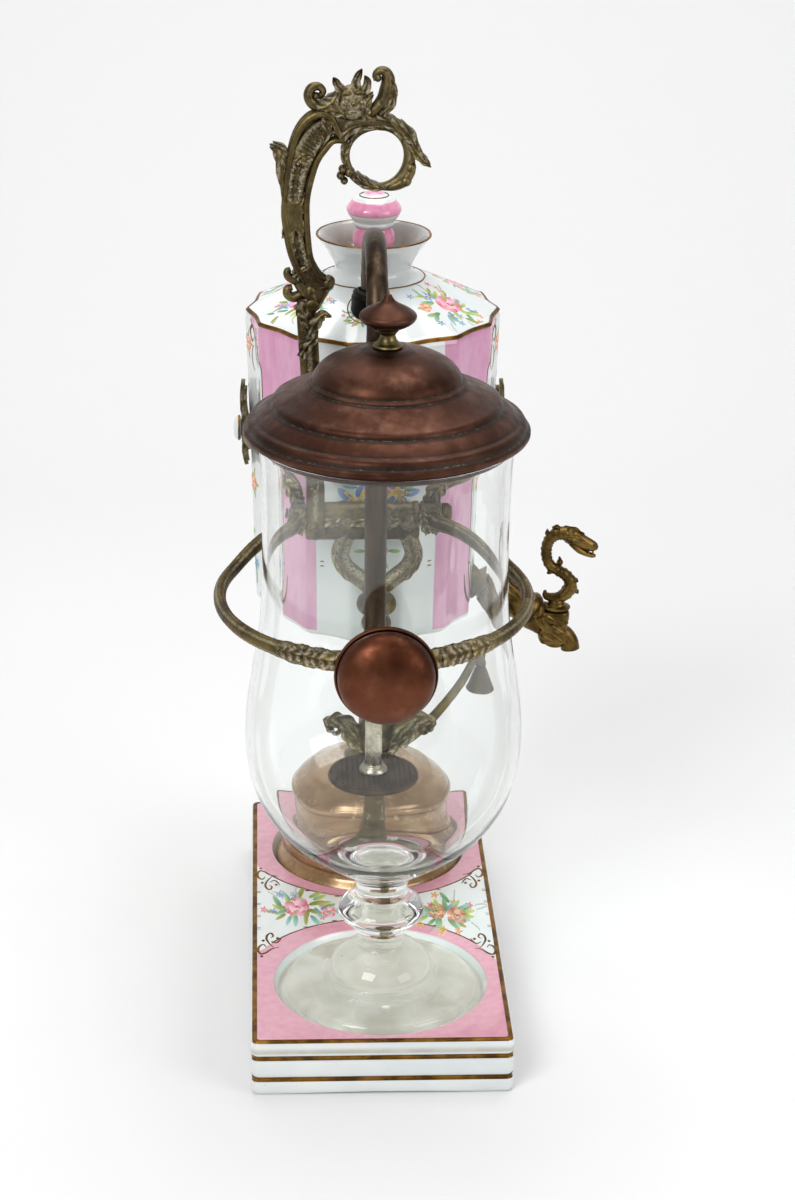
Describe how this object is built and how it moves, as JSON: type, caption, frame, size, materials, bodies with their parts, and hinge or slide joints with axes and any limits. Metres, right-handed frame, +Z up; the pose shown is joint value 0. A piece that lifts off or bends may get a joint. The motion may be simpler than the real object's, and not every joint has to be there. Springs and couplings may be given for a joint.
{
  "type": "vacuum coffee maker",
  "caption": "Antique balance siphon: porcelain boiler on a rocking lever, bent pipe, covered glass, spirit lamp, snuffer and drain tap on a porcelain plinth.",
  "frame": {"origin": "centre of the column on the plinth's underside; the cap nut's flat face lies 1 mm above it", "axes": "+Z up, -Y towards the glass vessel, +Y towards the boiler, +X towards the tap"},
  "size_m": [0.194, 0.3008, 0.4652],
  "materials": {
    "porcelain": "white glaze with pink fields and gilt lines",
    "bronze": "antique bronze, dark with pale dirt in its hollows",
    "copper": "tarnished copper",
    "brass": "worn brass",
    "gilt_brass": "gilt brass, darkened",
    "lead": "cast lead, out of sight",
    "lustre_ceramic": "gold lustre on glaze",
    "tinned_brass": "tinned",
    "glass": "clear blown glass",
    "cork": "natural cork",
    "cotton": "woven cotton"
  },
  "bodies": {
    "stand": {"base_plinth": "porcelain", "column_stem": "bronze", "column_washer": "brass", "column_nut": "brass", "column_head": "bronze", "axle_pin": "bronze", "axle_nut": "bronze", "leaf_bracket": "bronze", "handle_stem": "bronze", "handle_scroll": "bronze", "handle_rivet": "bronze", "joint_rivet": "bronze", "lamp_pot": "lustre_ceramic", "burner_collar": "brass", "wick": "cotton", "glass_vessel": "glass"},
    "lever": {"lever_ring": "bronze", "left_boiler_arm": "bronze", "right_boiler_arm": "bronze", "left_arm_screw": "bronze", "right_arm_screw": "bronze", "counterweight_cup": "copper", "counterweight_cap": "copper", "counterweight_core": "lead", "counterweight_bolt": "bronze"},
    "boiler": {"boiler_body": "porcelain", "left_trunnion_button": "porcelain", "right_trunnion_button": "porcelain", "siphon_pipe": "bronze", "pipe_ferrule": "bronze", "pipe_tip": "tinned_brass", "strainer_plate": "bronze", "strainer_collar": "tinned_brass", "tap_barrel": "gilt_brass", "tap_body": "gilt_brass"},
    "stopper": {"stopper_knob": "porcelain", "stopper_cork": "cork"},
    "lid": {"lid_shell": "copper", "lid_neck": "brass", "lid_knob": "copper"},
    "tap_handle": {"tap_plug": "gilt_brass", "tap_key": "gilt_brass", "tap_nut": "gilt_brass"},
    "snuffer": {"snuffer_arm": "bronze", "snuffer_cap": "bronze"}
  },
  "joints": [
    {"name": "lever_tilt", "type": "hinge", "parent": "stand", "child": "lever", "pos_m": [0, 0, 0.2465], "axis": [1, 0, 0], "range_deg": [0, 6]},
    {"name": "boiler_swing", "type": "hinge", "parent": "lever", "child": "boiler", "pos_m": [0, 0.071, 0.266], "axis": [1, 0, 0], "range_deg": [-6, 0]},
    {"name": "stopper_lift", "type": "slide", "parent": "boiler", "child": "stopper", "axis": [0, 0, 1], "range_m": [0, 0.03]},
    {"name": "lid_lift", "type": "slide", "parent": "stand", "child": "lid", "axis": [0, 0, 1], "range_m": [0, 0.01]},
    {"name": "tap_turn", "type": "hinge", "parent": "boiler", "child": "tap_handle", "pos_m": [0.0956, 0.06, 0.162], "axis": [0, 0, 1], "range_deg": [0, 90]},
    {"name": "snuffer_swing", "type": "hinge", "parent": "stand", "child": "snuffer", "pos_m": [0, 0, 0.118], "axis": [0, 0, 1], "range_deg": [0, 57.7]}
  ],
  "couplings": [
    {"joint": "boiler_swing", "follows": "lever_tilt", "ratio": -1}
  ]
}
